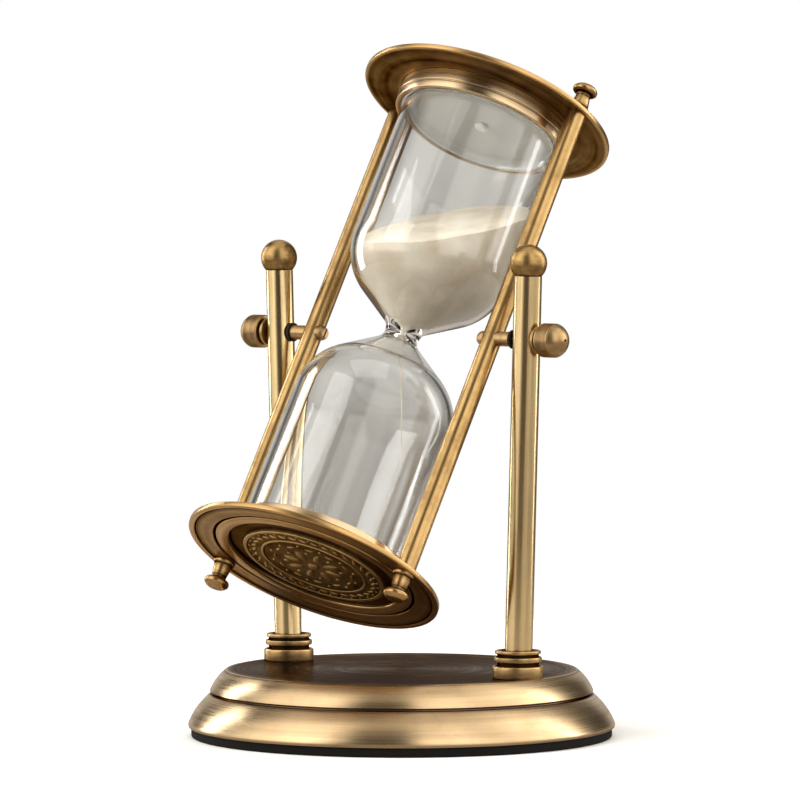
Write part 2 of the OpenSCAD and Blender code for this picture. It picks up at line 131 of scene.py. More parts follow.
# %% [markdown]
# A turned piece is fully told by its radius and its two ends along its axis. These are measured
# on the engineering piece in its own placement, so the finished piece always has the same size.


# %% Measuring turned pieces
def measure(part, placement):
    """Largest radius, lowest and highest point of a part about a placement's axis."""
    inverse = placement.inverted()
    points = [inverse @ v.co for v in frame["nodes"][part].data.vertices]
    radius = max(math.hypot(p.x, p.y) for p in points)
    return radius, min(p.z for p in points), max(p.z for p in points)


base_r, base_low, base_top = measure("base_shell", UPRIGHT)
disc_r, disc_low, disc_face = measure("upper_disc", GLASS)
ring_r, ring_low, ring_high = measure("upper_glass_ring", GLASS)
medallion_r, recess_floor, _ = measure("upper_medallion", GLASS)
glass_r, _, glass_end = measure("glass_bulb", GLASS)
print("foot radius", round(base_r / MM, 1), "disc", round(disc_r / MM, 1), "glass", round(glass_r / MM, 1))

# %% [markdown]
# ## The lathe
#
# An outline is a list of corners: radius, height, corner rounding and, where wanted, how dark
# it is coloured there, from 0 to 1: patina, and on the discs' inner faces painted shade. Real turned
# edges are never sharp, and the thin bright line that a rounded edge catches is what makes metal look solid,
# so each corner is rounded first.
# The same pass notes which corners stick out and get worn bright, and which hold dirt.


# %% Rounding an outline
LONGEST_FILLET = 0.45  # as a share of the shorter side, so that two fillets never meet


def rounded(outline, closed=False, steps=4):
    """Corners to a fine path of (radius, height, patina, wear)."""
    corners = [(c + (0, 0))[:4] if len(c) < 4 else c for c in (tuple(p) for p in outline)]
    path = []
    count = len(corners)
    for i, (r, z, fillet, patina_and_shade) in enumerate(corners):
        inside = closed or 0 < i < count - 1
        if not inside or fillet == 0:
            path.append((r, z, patina_and_shade, 0.0))
            continue
        here = Vector((r, z))
        before = Vector(corners[i - 1][:2]) - here
        after = Vector(corners[(i + 1) % count][:2]) - here
        reach = min(fillet, LONGEST_FILLET * before.length, LONGEST_FILLET * after.length)
        start = here + before.normalized() * reach
        stop = here + after.normalized() * reach
        turn_left = after.x * before.y - after.y * before.x
        wear = 1.0 if turn_left > 0 else -1.0
        for k in range(steps + 1):
            t = k / steps
            p = start * (1 - t) ** 2 + here * 2 * t * (1 - t) + stop * t * t
            path.append((p.x, p.y, patina_and_shade, wear * math.sin(math.pi * t)))
    return path


# %% [markdown]
# Turning sweeps the path around the axis. A point on the axis becomes one pole, and every other
# point becomes a ring. Patina and painted shade, and wear, go along as attributes of the mesh, for the
# materials to read.


# %% Turning
ON_AXIS = 1e-7  # metres


def swept(path, closed=False, steps=128):
    """A bmesh turned from a path of (radius, height, patina, wear)."""
    bm = bmesh.new()
    patina_and_shade_layer = bm.verts.layers.float.new("patina_and_shade")
    wear_layer = bm.verts.layers.float.new("wear")
    rings = []
    for r, z, patina_and_shade, wear in path:
        ring = []
        for k in range(1 if r < ON_AXIS else steps):
            angle = 2 * math.pi * k / steps
            vert = bm.verts.new((r * math.cos(angle), r * math.sin(angle), z))
            vert[patina_and_shade_layer] = patina_and_shade
            vert[wear_layer] = wear
            ring.append(vert)
        rings.append(ring)
    pairs = list(zip(rings, rings[1:])) + ([(rings[-1], rings[0])] if closed else [])
    for lower, upper in pairs:
        for k in range(steps):
            corner = [lower[k % len(lower)], lower[(k + 1) % steps % len(lower)]]
            corner += [upper[(k + 1) % steps % len(upper)], upper[k % len(upper)]]
            face = list(dict.fromkeys(corner))
            if len(face) > 2:
                bm.faces.new(face)
    bmesh.ops.recalc_face_normals(bm, faces=bm.faces)
    return bm


def finished_piece(name, bm, placement, body, stands_for=(), smooth_angle=38):
    """A bmesh as an object in its place, riding on its body and standing for engineering parts."""
    mesh = bpy.data.meshes.new(name)
    bm.to_mesh(mesh)
    bm.free()
    mesh.transform(placement)
    mesh.shade_smooth()
    mesh.set_sharp_from_angle(angle=math.radians(smooth_angle))
    piece = bpy.data.objects.new(name, mesh)
    bpy.context.scene.collection.objects.link(piece)
    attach(piece, body)
    if stands_for:
        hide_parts(*stands_for)
    return piece


def turned_piece(name, outline, placement, body, part, material, closed=False, steps=128):
    """Rounds, turns and finishes one lathe piece. Outline sizes are in metres."""
    bm = swept(rounded(outline, closed), closed, steps)
    piece = finished_piece(name, bm, placement, body, (part,))
    piece.data.materials.append(material)
    print("turned", name, "with", len(piece.data.vertices), "points")
    return piece


# %% [markdown]
# ## Brass
#
# Brass is copper and zinc. Fresh from the lathe it is bright yellow with fine rings; antiqued
# brass is dipped until it browns and then rubbed back, so recesses stay dark and edges shine.
# A finish here is built from three things: tool marks that follow the way the piece was cut,
# soft blotches of patina, and the wear, patina and painted shade that the lathe step stored on the mesh.
# One function adds a node with its settings and its links; everything else is built from it.


# %% Nodes
def node(tree, kind, links=None, **settings):
    """Adds a shader node. links gives each input a value, a node, or one of a node's outputs."""
    made = tree.nodes.new("ShaderNode" + kind)
    for key, value in settings.items():
        setattr(made, key, value)
    for socket, source in (links or {}).items():
        if isinstance(source, bpy.types.Node):
            source = source.outputs[0]
        if isinstance(source, bpy.types.NodeSocket):
            tree.links.new(source, made.inputs[socket])
        else:
            made.inputs[socket].default_value = source
    return made


def new_material(name):
    """An empty node material with a Principled shader joined to its output."""
    material = bpy.data.materials.new(name)
    material.use_nodes = True
    tree = material.node_tree
    tree.nodes.clear()
    shader = node(tree, "BsdfPrincipled")
    node(tree, "OutputMaterial", {"Surface": shader.outputs[0]})
    return material, tree, shader


# %% [markdown]
# Tool marks need to know where the axis is. A Mapping node set to Texture undoes a placement, so
# the marks are worked out around the piece's own axis. Turned marks change quickly along the
# radius and the height and slowly around; drawn marks run the length of a bar.


# %% Tool marks
def own_axis(tree, placement):
    """Texture coordinates in the piece's own placement, in metres."""
    place, turn, _ = placement.decompose()
    position = node(tree, "TexCoord").outputs["Object"]
    links = {"Vector": position, "Location": place, "Rotation": turn.to_euler()}
    return node(tree, "Mapping", links, vector_type="TEXTURE").outputs[0]


def turned_marks(tree, coordinates, spacing, detail=4.0):
    """Fine rings as a lathe tool leaves them. spacing is the distance between them in metres."""
    wander = 0.6  # how much a ring changes on its way around
    x, y, z = node(tree, "SeparateXYZ", {0: coordinates}).outputs
    flat = node(tree, "CombineXYZ", {0: x, 1: y})
    radius = node(tree, "VectorMath", {0: flat}, operation="LENGTH").outputs["Value"]
    angle = node(tree, "Math", {0: y, 1: x}, operation="ARCTAN2")
    # Around the piece the pattern is read on a circle, so that it meets itself.
    cosine = node(tree, "Math", {0: angle}, operation="COSINE")
    sine = node(tree, "Math", {0: angle}, operation="SINE")
    rings = node(tree, "Math", {0: radius, 1: spacing}, operation="DIVIDE")
    along = node(tree, "Math", {0: cosine, 1: wander, 2: rings}, operation="MULTIPLY_ADD")
    height = node(tree, "Math", {0: z, 1: spacing}, operation="DIVIDE")
    across = node(tree, "Math", {0: sine, 1: wander}, operation="MULTIPLY")
    place = node(tree, "CombineXYZ", {0: along, 1: height, 2: across})
    noise = {"Vector": place, "Scale": 1.0, "Detail": detail, "Roughness": 0.6}
    return node(tree, "TexNoise", noise).outputs[0]


def drawn_marks(tree, coordinates, spacing, stretch=60.0):
    """Fine lines along a bar, as a drawing die or an abrasive belt leaves them."""
    squeeze = (1 / spacing, 1 / spacing, 1 / (spacing * stretch))
    place = node(tree, "Mapping", {"Vector": coordinates, "Scale": squeeze})
    noise = {"Vector": place, "Scale": 1.0, "Detail": 3.0, "Roughness": 0.6}
    return node(tree, "TexNoise", noise).outputs[0]


# %% [markdown]
# Tool rings also steer reflections: light smears across the scratches and stays sharp along them,
# which draws the bright rays seen on a lathe-turned face. The shader needs to know which way
# the tool went at each point. That is at right angles to the radius, in the piece's own placement.


# %% Way of the tool
def tool_travel(tree, coordinates, placement):
    """World direction of the tool marks of a turned piece."""
    x, y, _ = node(tree, "SeparateXYZ", {0: coordinates}).outputs
    minus_y = node(tree, "Math", {0: y, 1: -1.0}, operation="MULTIPLY")
    around_axis = node(tree, "CombineXYZ", {0: minus_y, 1: x})
    turned_way = {"Vector": around_axis, "Rotation": placement.to_euler()}
    in_place = node(tree, "Mapping", turned_way, vector_type="VECTOR")
    spaces = {"vector_type": "VECTOR", "convert_from": "OBJECT", "convert_to": "WORLD"}
    return node(tree, "VectorTransform", {0: in_place}, **spaces).outputs[0]


# %% [markdown]
# The brass itself. Metallic is 1 and the index of refraction stays at its default, as for any
# metal. Satin brass has a roughness near 0.3; the marks move it up and down, and patina is both
# darker and rougher. A metal turns white when it is seen almost edge-on, but a brown oxide skin
# dulls that glare, and the shader's Specular Tint is where that is set. The bump from the marks
# is tiny, because the real scratches are microns deep. The marks are drawn 0.2 mm apart or more,
# coarser than a fine finishing cut leaves them, so that they show.


# %% Brass finishes
def patina_and_shade_amount(tree, coordinates, broad_marks, mottle, mottle_size):
    """How brown each point is, from 0 to 1: what the lathe step stored, blotches and broad rings."""
    patina_and_shade = node(tree, "Attribute", attribute_name="patina_and_shade").outputs["Fac"]
    wear = node(tree, "Attribute", attribute_name="wear").outputs["Fac"]
    hollows = {"Value": wear, "From Min": -1.0, "From Max": 0.0, "To Min": 0.55, "To Max": 0.0}
    dirt = node(tree, "MapRange", hollows)
    edges = {"Value": wear, "From Min": 0.0, "From Max": 1.0, "To Min": 0.0, "To Max": 0.45}
    shine = node(tree, "MapRange", edges)
    broad = {"Vector": coordinates, "Scale": 1 / mottle_size, "Detail": 6.0, "Roughness": 0.62}
    blotch = node(tree, "TexNoise", broad)
    clouds = {"Value": blotch, "From Min": 0.38, "From Max": 0.72, "To Min": 0.0, "To Max": mottle}
    cloud = node(tree, "MapRange", clouds)
    small = {"Vector": coordinates, "Scale": 6 / mottle_size, "Detail": 4.0, "Roughness": 0.7}
    speck = node(tree, "TexNoise", small)
    specks = {"Value": speck, "From Min": 0.55, "From Max": 0.8, "To Min": 0.0, "To Max": mottle * 0.6}
    spots = node(tree, "MapRange", specks)
    bands = {"Value": broad_marks, "From Min": 0.35, "From Max": 0.75, "To Min": -0.1, "To Max": 0.22}
    lines = node(tree, "MapRange", bands)
    amount = patina_and_shade
    for layer in (dirt, cloud, spots, lines):
        amount = node(tree, "Math", {0: amount, 1: layer}, operation="ADD")
    rubbed = {0: amount, 1: shine}
    return node(tree, "Math", rubbed, operation="SUBTRACT", use_clamp=True).outputs[0]


def brass(
    name, placement, bright, patina_and_shade_colour, roughness=0.3, marks="turned", spacing=0.25 * MM,
    mottle=0.35, mottle_size=9 * MM, dulling=0.16, bump=0.08, anisotropy=0.0
):
    """A brass finish. Colours are hex, mottle is how strongly it is blotched, and dulling is
    how much rougher the patina is than clean metal."""
    material, tree, shader = new_material(name)
    coordinates = own_axis(tree, placement)
    if marks == "turned":
        fine = turned_marks(tree, coordinates, spacing)
        broad = turned_marks(tree, coordinates, spacing * 9, detail=2.0)
    else:
        fine = drawn_marks(tree, coordinates, spacing)
        broad = drawn_marks(tree, coordinates, spacing * 6, stretch=24.0)
    amount = patina_and_shade_amount(tree, coordinates, broad, mottle, mottle_size)
    shades = {"Factor": amount, 6: linear(bright), 7: linear(patina_and_shade_colour)}
    colour = node(tree, "Mix", shades, data_type="RGBA").outputs[2]
    tints = {"Factor": amount, 6: linear("FFFFFF"), 7: linear("85735F")}
    glare = node(tree, "Mix", tints, data_type="RGBA").outputs[2]
    smooth, coarse = roughness * 0.8, roughness * 1.25
    marked = {"Value": fine, "From Min": 0.3, "From Max": 0.7, "To Min": smooth, "To Max": coarse}
    streak = node(tree, "MapRange", marked)
    dulled = {0: amount, 1: dulling, 2: streak}
    rough = node(tree, "Math", dulled, operation="MULTIPLY_ADD", use_clamp=True)
    scratches = node(tree, "Bump", {"Height": fine, "Strength": bump, "Distance": 0.05 * MM})
    tree.links.new(colour, shader.inputs["Base Color"])
    tree.links.new(glare, shader.inputs["Specular Tint"])
    tree.links.new(rough.outputs[0], shader.inputs["Roughness"])
    tree.links.new(scratches.outputs[0], shader.inputs["Normal"])
    shader.inputs["Metallic"].default_value = 1.0
    if anisotropy:
        shader.inputs["Anisotropic"].default_value = anisotropy
        shader.inputs["Anisotropic Rotation"].default_value = 0.25
        tree.links.new(tool_travel(tree, coordinates, placement), shader.inputs["Tangent"])
    print("finish", name)
    return material


# %% [markdown]
# ## The foot
#
# The foot is one sheet of brass, spun over a wooden form into two sloping steps with a groove
# between them, then brushed on the lathe. The flat top is coloured dark brown. Spun sheet has no
# sharp corner anywhere, so the steps are drawn as swelling curves and every corner is rounded.


# %% Foot shell
def swell(r0, z0, r1, z1, lean_from, lean_to, steps=14):
    """A curve from r0, z0 to r1, z1 whose lean from upright grows between two angles in degrees."""
    first, last = math.radians(lean_from), math.radians(lean_to)
    curve = []
    for k in range(steps + 1):
        a = first + (last - first) * k / steps
        inward = (math.cos(first) - math.cos(a)) / (math.cos(first) - math.cos(last))
        upward = (math.sin(a) - math.sin(first)) / (math.sin(last) - math.sin(first))
        curve.append((r0 - (r0 - r1) * inward, z0 + (z1 - z0) * upward, 0, 0.0))
    return curve


groove_z = base_low + 0.6 * (base_top - base_low)
groove_r = base_r - 7.6 * MM
groove_half = 0.25 * MM
tier_gap = 0.6 * MM
shell_wall = 1.4 * MM
spun_foot = brass("spun_brushed_brass", UPRIGHT, "E3C599", "604F41", 0.28, spacing=0.35 * MM,
                  mottle=0.22, mottle_size=22 * MM, dulling=0.0, anisotropy=0.7)
foot_outline = [
    (base_r - shell_wall, base_low, 0, 0.6),
    (base_r - 0.2 * MM, base_low, 0.6 * MM, 0.4),
    *swell(base_r, base_low + 1.2 * MM, base_r - 6.9 * MM, groove_z - tier_gap, 15, 42),
    (groove_r, groove_z - groove_half, 0.3 * MM, 1.0),
    (groove_r, groove_z + groove_half, 0.3 * MM, 1.0),
    *swell(base_r - 7.1 * MM, groove_z + tier_gap, base_r - 11.6 * MM, base_top - 0.7 * MM, 20, 50),
    (base_r - 12.4 * MM, base_top, 0.9 * MM, 0.45),
    (base_r - 14.5 * MM, base_top, 0, 0.8),
    (base_r - 20.0 * MM, base_top, 0, 0.92),
    (base_r * 0.4, base_top, 0, 0.92),
    (0, base_top, 0, 0.92),
]
foot_shell = turned_piece("foot_shell", foot_outline, UPRIGHT, "stand", "base_shell", spun_foot,
                          steps=192)

# %% [markdown]
# A sheet has two sides. Solidify gives the shell its real wall, so it is hollow from below.

# %% Wall of the foot
wall = foot_shell.modifiers.new("wall", "SOLIDIFY")
wall.thickness = shell_wall
wall.offset = -1
print("foot wall", round(wall.thickness / MM, 2), "mm")


# %% [markdown]
# ## Foam
#
# The black pad under the foot is closed-cell foam sheet, and so are the pale cups that hold the
# glass. Foam skin is matt, with a fine pebbled surface where the cells were cut. It is a
# polymer, so its index of refraction stays near 1.5 and its roughness near 0.9.


# %% Foam material
def foam(name, colour, deep_colour, cell):
    """Closed-cell foam. cell is the size of the cut cells in metres."""
    material, tree, shader = new_material(name)
    position = node(tree, "TexCoord").outputs["Object"]
    cells = node(tree, "TexVoronoi", {"Vector": position, "Scale": 1 / cell}).outputs["Distance"]
    shade = node(tree, "TexNoise", {"Vector": position, "Scale": 0.12 / cell, "Detail": 5.0}).outputs[0]
    clouds = node(tree, "Math", {0: shade, 1: 0.4}, operation="MULTIPLY")
    depth = {0: cells, 1: 0.5, 2: clouds}
    amount = node(tree, "Math", depth, operation="MULTIPLY_ADD", use_clamp=True)
    shades = {"Factor": amount, 6: linear(colour), 7: linear(deep_colour)}
    mixture = node(tree, "Mix", shades, data_type="RGBA")
    tree.links.new(mixture.outputs[2], shader.inputs["Base Color"])
    dents = node(tree, "Bump", {"Height": cells, "Strength": 0.35, "Distance": 0.1 * MM})
    tree.links.new(dents.outputs[0], shader.inputs["Normal"])
    shader.inputs["Roughness"].default_value = 0.9
    shader.inputs["Specular IOR Level"].default_value = 0.3
    return material


black_foam = foam("black_foam_sheet", "120F0D", "070605", 0.5 * MM)
grey_foam = foam("pale_grey_foam", "F7F5F3", "E6E3E0", 0.4 * MM)

# %% Pad under the foot
pad_r, pad_low, pad_high = measure("base_pad", UPRIGHT)
pad_outline = [
    (0, pad_low), (pad_r, pad_low, 0.6 * MM), (pad_r, pad_high, 0.3 * MM), (0, pad_high)
]
foot_pad = turned_piece(
    "foot_pad", pad_outline, UPRIGHT, "stand", "base_pad", black_foam, steps=160
)

# %% [markdown]
# ## Collars, posts and balls
#
# A collar is three rings turned from one bar, with dark grooves between them. Grooves as narrow
# as these are never polished, so they carry full patina. The posts are drawn bar: their tool
# marks run lengthwise. They keep the engineering shape, with its real bores.

# %% Foot collars
collar_r, _, _ = measure("foot_collar_right", Matrix.Translation(foot_placement(RIGHT).translation))
neck_in = collar_r - 1.5 * MM
middle_ring_r = collar_r - 0.5 * MM
top_ring_r = collar_r - 0.8 * MM
post_r = post_width / 2
collar_outline = [
    (post_r, 0, 0, 1.0),
    (collar_r, 0, 0.3 * MM, 0.5), (collar_r, 3.9 * MM, 0.6 * MM, 0.1),
    (neck_in, 3.9 * MM, 0.2 * MM, 1.0), (neck_in, 5.2 * MM, 0.2 * MM, 1.0),
    (middle_ring_r, 5.2 * MM, 0.4 * MM, 0.2), (middle_ring_r, 6.8 * MM, 0.4 * MM, 0.2),
    (neck_in, 6.8 * MM, 0.2 * MM, 1.0), (neck_in, 7.8 * MM, 0.2 * MM, 1.0),
    (top_ring_r, 7.8 * MM, 0.3 * MM, 0.2), (top_ring_r, 8.9 * MM, 0.4 * MM, 0.1),
    (post_r + 0.3 * MM, 8.9 * MM, 0.2 * MM, 0.9), (post_r, 8.6 * MM, 0, 1.0),
]
for side, sign in SIDES.items():
    upright_foot = Matrix.Translation(foot_placement(sign).translation)
    collar_brass = brass(f"antiqued_turned_brass_{side}", upright_foot, "D2AE78", "2C1D0F", 0.32,
                         spacing=0.3 * MM, mottle=0.35)
    turned_piece(f"collar_{side}", collar_outline, upright_foot, "stand", f"foot_collar_{side}",
                 collar_brass, closed=True)


# %% Posts
def coat(part, material):
    """Gives an engineering part that keeps its shape a finish of its own."""
    slots = frame["nodes"][part].data.materials
    slots.clear()
    slots.append(material)
    print("coated", part, "with", material.name)


for side, sign in SIDES.items():
    drawn_post = brass(f"drawn_post_brass_{side}", foot_placement(sign), "E3C996", "705030", 0.19,
                       marks="drawn", spacing=0.3 * MM, mottle=0.14, mottle_size=12 * MM)
    coat(f"post_{side}", drawn_post)

# %% [markdown]
# The ball sits on the post with a flat cut on its underside, and a hairline of dirt where the two
# meet. It was turned and then antiqued, so it is browner than the post, brightest on its crown.

# %% Ball finials
FLAT_DEPTH = 0.7  # how far below its centre the ball is cut flat, as a share of its radius
CROWN_STEPS = 24
for side, sign in SIDES.items():
    placement = foot_placement(sign)
    ball_r, spigot_low, ball_top = measure(f"ball_finial_{side}", placement)
    ball_centre = ball_top - ball_r
    ball_flat = ball_centre - FLAT_DEPTH * ball_r
    flat_r = math.sqrt(ball_r**2 - (FLAT_DEPTH * ball_r) ** 2)
    start_angle = math.asin(-FLAT_DEPTH)
    crown = []
    for k in range(1, CROWN_STEPS + 1):
        a = start_angle + (math.pi / 2 - start_angle) * k / CROWN_STEPS
        brown = max(0, 0.5 - 0.035 * k)
        crown.append((ball_r * math.cos(a), ball_centre + ball_r * math.sin(a), 0, brown))
    crown[-1] = (0, ball_top, 0, 0)
    ball_outline = [
        (0, spigot_low), (1.8 * MM, spigot_low, 0.3 * MM), (1.8 * MM, ball_flat, 0.1 * MM, 1.0),
        (flat_r, ball_flat, 0.15 * MM, 1.0), *crown,
    ]
    ball_brass = brass(f"antiqued_ball_brass_{side}", placement, "D2AE72", "5E421F", 0.28,
                       spacing=0.25 * MM, mottle=0.5, mottle_size=4 * MM)
    turned_piece(f"ball_{side}", ball_outline, placement, "stand", f"ball_finial_{side}",
                 ball_brass, steps=64)

# %% [markdown]
# ## The end discs
#
# Each disc is a thin casting, faced on the lathe: a rolled edge, a broad band, a groove, a raised
# ring, and a round recess for the medallion. On its inner face a low boss carries the glass ring.
# The recess was never rubbed back after the brown bath, so it is dark; the rim is handled, so it
# is bright. The inner face is painted dark brown too: painted shade and dark reflection under the disc.

# %% Disc brass
disc_brass = brass("antiqued_disc_brass", GLASS, "D6AE74", "432B15", 0.3, spacing=0.3 * MM,
                   mottle=0.2, mottle_size=10 * MM, anisotropy=0.65)
ring_brass = brass("brushed_ring_brass", GLASS, "EACFA6", "6E4E2C", 0.26, spacing=0.35 * MM,
                   mottle=0.2, mottle_size=12 * MM, anisotropy=0.6)
recess_r = medallion_r + 5.1 * MM
edge_z = disc_face - 1.7 * MM
band_z = disc_face - 0.6 * MM
groove_floor = disc_face - 1.0 * MM

# %% Discs
for end, sign in ENDS.items():
    disc_outline = [
        (0, disc_low, 0, 0.4),
        (ring_r, disc_low, 0.1 * MM, 0.35), (ring_r, disc_low + 0.4 * MM, 0, 0.0),
        # The inner face, from the boss out to the rim, is painted dark: painted shade and dark reflection.
        (ring_r, edge_z, 0.3 * MM, 0.4), (ring_r + 1.5 * MM, edge_z, 0, 0.66),
        (disc_r - 1.5 * MM, edge_z, 0, 0.68),
        (disc_r, edge_z, 0.4 * MM, 0.0), (disc_r, disc_face, 0.5 * MM, 0.0),
        (disc_r - 1.5 * MM, disc_face, 0.4 * MM, 0.0),
        (disc_r - 2.2 * MM, disc_face - 0.4 * MM, 0.3 * MM, 0.6),
        (disc_r - 4.5 * MM, disc_face - 0.5 * MM, 0, 0.12),
        (recess_r + 5.4 * MM, band_z, 0.2 * MM, 0.15), (recess_r + 5.1 * MM, groove_floor, 0.2 * MM, 1.0),
        (recess_r + 4.5 * MM, groove_floor, 0.2 * MM, 1.0), (recess_r + 4.2 * MM, band_z, 0.3 * MM, 0.1),
        (recess_r + 2.2 * MM, disc_face - 0.35 * MM, 1.0 * MM, 0.0),
        (recess_r + 0.5 * MM, band_z, 0.3 * MM, 0.1),
        (recess_r, groove_floor, 0.2 * MM, 0.4), (recess_r, recess_floor, 0.4 * MM, 0.72),
        (medallion_r, recess_floor, 0, 0.65), (0, recess_floor, 0, 1.0),
    ]
    turned_piece(f"{end}_end_disc", disc_outline, end_placement(sign), "glass_frame", f"{end}_disc",
                 disc_brass, steps=192)

# %% [markdown]
# ## The medallions
#
# A medallion is a small casting that lies in the recess. Its ornament here is a plain one: a rope
# of leaves around a ring, and a rosette of petals and beads inside it. Each leaf, petal and bead
# is a flattened ball pressed half into the plate. The tops are rubbed bright and the ground
# between them stays dark, which is what lets such low relief be read at all.


# %% Relief shapes
def press(bm, centre, length, width, height, heading):
    """Adds a flattened ball to a plate. heading is the way its long side points."""
    place = Matrix.Translation(centre) @ Matrix.Rotation(heading, 4, "Z")
    shape = place @ Matrix.Diagonal((length / 2, width / 2, height, 1))
    made = bmesh.ops.create_uvsphere(bm, u_segments=12, v_segments=8, radius=1.0, matrix=shape)
    patina_and_shade_layer = bm.verts.layers.float["patina_and_shade"]
    wear_layer = bm.verts.layers.float["wear"]
    for vert in made["verts"]:
        rise = (vert.co.z - centre[2]) / height
        vert[patina_and_shade_layer] = 0.8 - 0.7 * max(0.0, rise)
        vert[wear_layer] = 0.5 * max(0.0, rise)


def around(count, radius, start=0.0):
    """Evenly spaced places on a circle, as (angle, x, y)."""
    for k in range(count):
        angle = start + 2 * math.pi * k / count
        yield angle, radius * math.cos(angle), radius * math.sin(angle)


# %% Medallion plates
band_r = medallion_r * 0.72
plate_z = 1.4 * MM
relief_z = plate_z + 0.35 * MM
LEAVES, SPRIGS, PETALS = 34, 12, 8
cast_brass = brass("cast_medallion_brass", GLASS, "E0BC7E", "5E421F", 0.38, spacing=0.5 * MM,
                   mottle=0.3, mottle_size=5 * MM, bump=0.15)
for end, sign in ENDS.items():
    plate_outline = [
        (0, 0, 0, 1), (medallion_r, 0, 0, 1), (medallion_r, relief_z, 0.3 * MM, 0.2),
        (medallion_r - 1.1 * MM, relief_z, 0.3 * MM, 0.2),
        (medallion_r - 1.4 * MM, plate_z, 0.2 * MM, 0.7),
        (band_r + 0.8 * MM, plate_z, 0.2 * MM, 0.6), (band_r + 0.5 * MM, relief_z, 0.2 * MM, 0.1),
        (band_r - 0.1 * MM, relief_z, 0.2 * MM, 0.1), (band_r - 0.4 * MM, plate_z, 0.2 * MM, 0.7),
        (0, plate_z, 0, 0.3),
    ]
    bm = swept(rounded(plate_outline), steps=160)
    leaf_r = (medallion_r - 1.2 * MM + band_r + 0.6 * MM) / 2
    for angle, x, y in around(LEAVES, leaf_r):
        press(bm, (x, y, plate_z), 3.1 * MM, 1.25 * MM, 0.45 * MM, angle + math.radians(62))
    for _, x, y in around(LEAVES, leaf_r + 1.55 * MM, math.pi / LEAVES):
        press(bm, (x, y, plate_z), 0.8 * MM, 0.8 * MM, 0.35 * MM, 0)
    for angle, x, y in around(SPRIGS, band_r * 0.76):
        press(bm, (x, y, plate_z), 3.4 * MM, 1.0 * MM, 0.4 * MM, angle + math.pi / 2)
    for _, x, y in around(SPRIGS, band_r * 0.84, math.pi / SPRIGS):
        press(bm, (x, y, plate_z), 1.1 * MM, 1.1 * MM, 0.4 * MM, 0)
    for angle, x, y in around(PETALS, band_r * 0.42):
        press(bm, (x, y, plate_z), 6.4 * MM, 2.6 * MM, 0.55 * MM, angle)
    for angle, x, y in around(PETALS, band_r * 0.56, math.pi / PETALS):
        press(bm, (x, y, plate_z), 1.7 * MM, 1.0 * MM, 0.4 * MM, angle)
    press(bm, (0, 0, plate_z), 4.2 * MM, 4.2 * MM, 0.8 * MM, 0)
    lift = end_placement(sign) @ Matrix.Translation((0, 0, recess_floor))
    plate = finished_piece(f"{end}_rosette_plate", bm, lift, "glass_frame", (f"{end}_medallion",))
    plate.data.materials.append(cast_brass)
    print("pressed", plate.name, "with", len(plate.data.polygons), "faces")

# %% [markdown]
# ## The rings that grip the glass
#
# On the inner face of each disc a stepped ring takes the end of the bulb. It is brushed brighter
# than the disc. A cup of pale foam lines it, so that glass never touches brass; seen through
# the bulb, that foam is why the glass's end looks light.

# %% Glass rings
ring_h = ring_high - ring_low
ring_in = ring_r - 2.2 * MM
ring_outline = [
    (ring_in, ring_high), (ring_in, ring_low, 0.2 * MM, 0.6),
    (ring_r - 0.3 * MM, ring_low, 0.25 * MM, 0.0),
    (ring_r - 0.1 * MM, ring_low + 0.4 * ring_h, 0.2 * MM, 0.0),
    (ring_r - 0.3 * MM, ring_low + 0.43 * ring_h, 0.1 * MM, 0.25),
    (ring_r - 0.25 * MM, ring_low + 0.51 * ring_h, 0.1 * MM, 0.15),
    (ring_r, ring_low + 0.54 * ring_h, 0.2 * MM, 0.0), (ring_r, ring_high - 0.08 * ring_h, 0, 0.0),
    (ring_r, ring_high, 0.1 * MM, 0.4),
]
for end, sign in ENDS.items():
    turned_piece(f"{end}_grip_ring", ring_outline, end_placement(sign), "glass_frame",
                 f"{end}_glass_ring", ring_brass, closed=True, steps=192)

# %% Foam cups
cup_r, cup_low, cup_high = measure("upper_glass_cushion", GLASS)
cup_floor = glass_end + 0.05 * MM
cup_outline = [
    (cup_r, cup_high), (cup_r, cup_low, 0.2 * MM), (glass_r + 0.2 * MM, cup_low, 0.2 * MM),
    (glass_r + 0.05 * MM, cup_low + 0.3 * MM), (glass_r, cup_floor, 1.5 * MM), (0, cup_floor),
    (0, cup_high), (0, cup_high),
]
for end, sign in ENDS.items():
    cup = turned_piece(f"{end}_foam_cup", cup_outline, end_placement(sign), "glass_frame",
                       f"{end}_glass_cushion", grey_foam, steps=128)

# %% [markdown]
# ## The glass
#
# An hourglass is blown from one tube: two bulbs, and a thick neck between them with a hole less than
# 2 mm wide. Soda-lime glass has an index of refraction of 1.52. What makes it read as glass is
# that the wall is real, with an inner and an outer face, and that the neck is thick enough
# to bend light strongly. The outline of half a bulb is a fillet at the neck, a straight cone and a
# round shoulder; one formula finds the fillet for any depth below the outer face.

# %% Bulb outline
to_glass = GLASS.inverted()
waist = [to_glass @ v.co for v in frame["nodes"]["glass_bulb"].data.vertices]
waist_radii = [math.hypot(p.x, p.y) for p in waist if abs(p.z) < 0.2 * MM]
neck_r, bore_r = max(waist_radii), min(waist_radii)
glass_wall = 1.6 * MM
end_wall = 1.8 * MM
end_corner = 4 * MM
shoulder_r = 20 * MM
neck_fillet = 5.2 * MM
cone = math.radians(51.5)
shoulder_z = (neck_fillet + shoulder_r) * math.tan(cone / 2) + (glass_r - neck_r) / math.tan(cone)
print("neck", round(neck_r / MM, 2), "bore", round(bore_r / MM, 2), "shoulder at", round(shoulder_z / MM, 1))


def arc(cx, cz, radius, start_degrees, stop_degrees, steps):
    """Points on a circle in the plane of an outline."""
    step = (stop_degrees - start_degrees) / steps
    angles = [math.radians(start_degrees + step * k) for k in range(steps + 1)]
    return [(cx + radius * math.cos(a), cz + radius * math.sin(a)) for a in angles]


